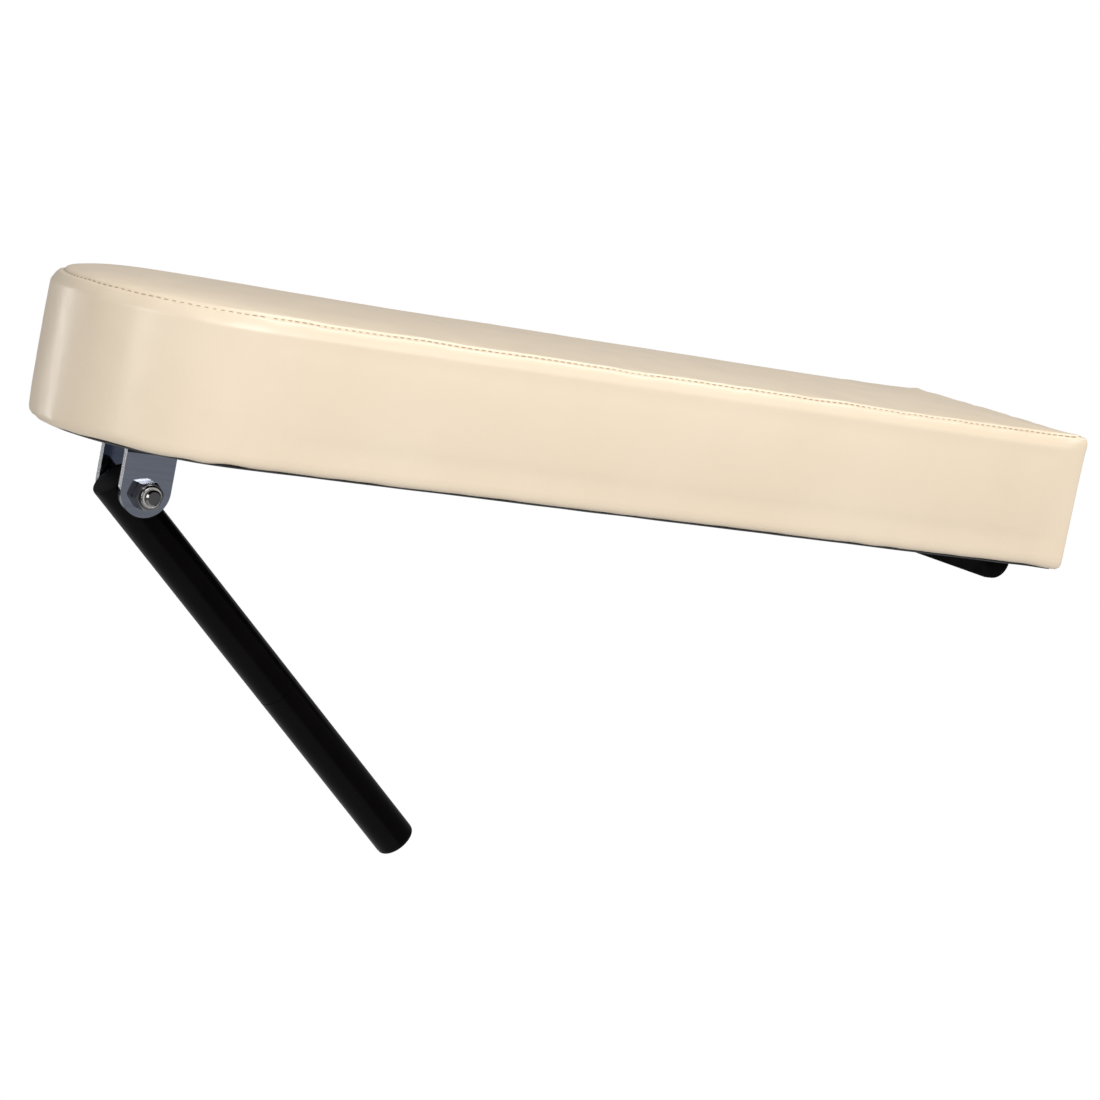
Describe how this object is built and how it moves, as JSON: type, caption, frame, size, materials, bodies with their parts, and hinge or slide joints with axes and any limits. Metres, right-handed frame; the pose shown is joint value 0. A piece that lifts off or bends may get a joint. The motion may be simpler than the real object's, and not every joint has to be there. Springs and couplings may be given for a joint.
{
  "type": "hinged upholstered rest pad",
  "caption": "Long narrow upholstered pad with a half-round end and a square end, hinged by a steel U-bracket to a round post that plugs into a treatment bed.",
  "frame": {"origin": "centre of the post tube's lower end, where the post goes into its socket", "axes": "+Z square to the pad, out of its top; +X along the pad from its round end to its square end; +Y across it, the part being symmetric about the XZ plane"},
  "size_m": [0.569, 0.153, 0.2724],
  "materials": {
    "cover": "satin",
    "dust_cover": "matte",
    "foam": "matte",
    "plywood": "matte",
    "polished_steel": "polished",
    "zinc_steel": "gloss",
    "staple_wire": "satin",
    "nylon": "satin",
    "black_tube": "gloss",
    "black_plastic": "satin",
    "black_rubber": "matte"
  },
  "bodies": {
    "post": {"post_tube": "black_tube", "post_upper_plug": "black_plastic", "post_lower_plug": "black_plastic"},
    "pad": {"base_board": "plywood", "foam_block": "foam", "cover_top_panel": "cover", "cover_side_band": "cover", "cover_staples": "staple_wire", "dust_cover": "dust_cover", "dust_cover_staples": "staple_wire", "tee_nuts": "zinc_steel", "hinge_bracket": "polished_steel", "bracket_screws": "zinc_steel", "pivot_bolt": "zinc_steel", "lock_nut": "zinc_steel", "lock_nut_insert": "nylon", "spacer_washers": "nylon", "rest_bar": "black_rubber", "rest_bar_screws": "zinc_steel"}
  },
  "joints": [
    {"name": "post_hinge", "type": "hinge", "parent": "post", "child": "pad", "pos_m": [-0.18165, 0, 0.16493], "axis": [0, 1, 0], "range_deg": [-137, 38]}
  ]
}
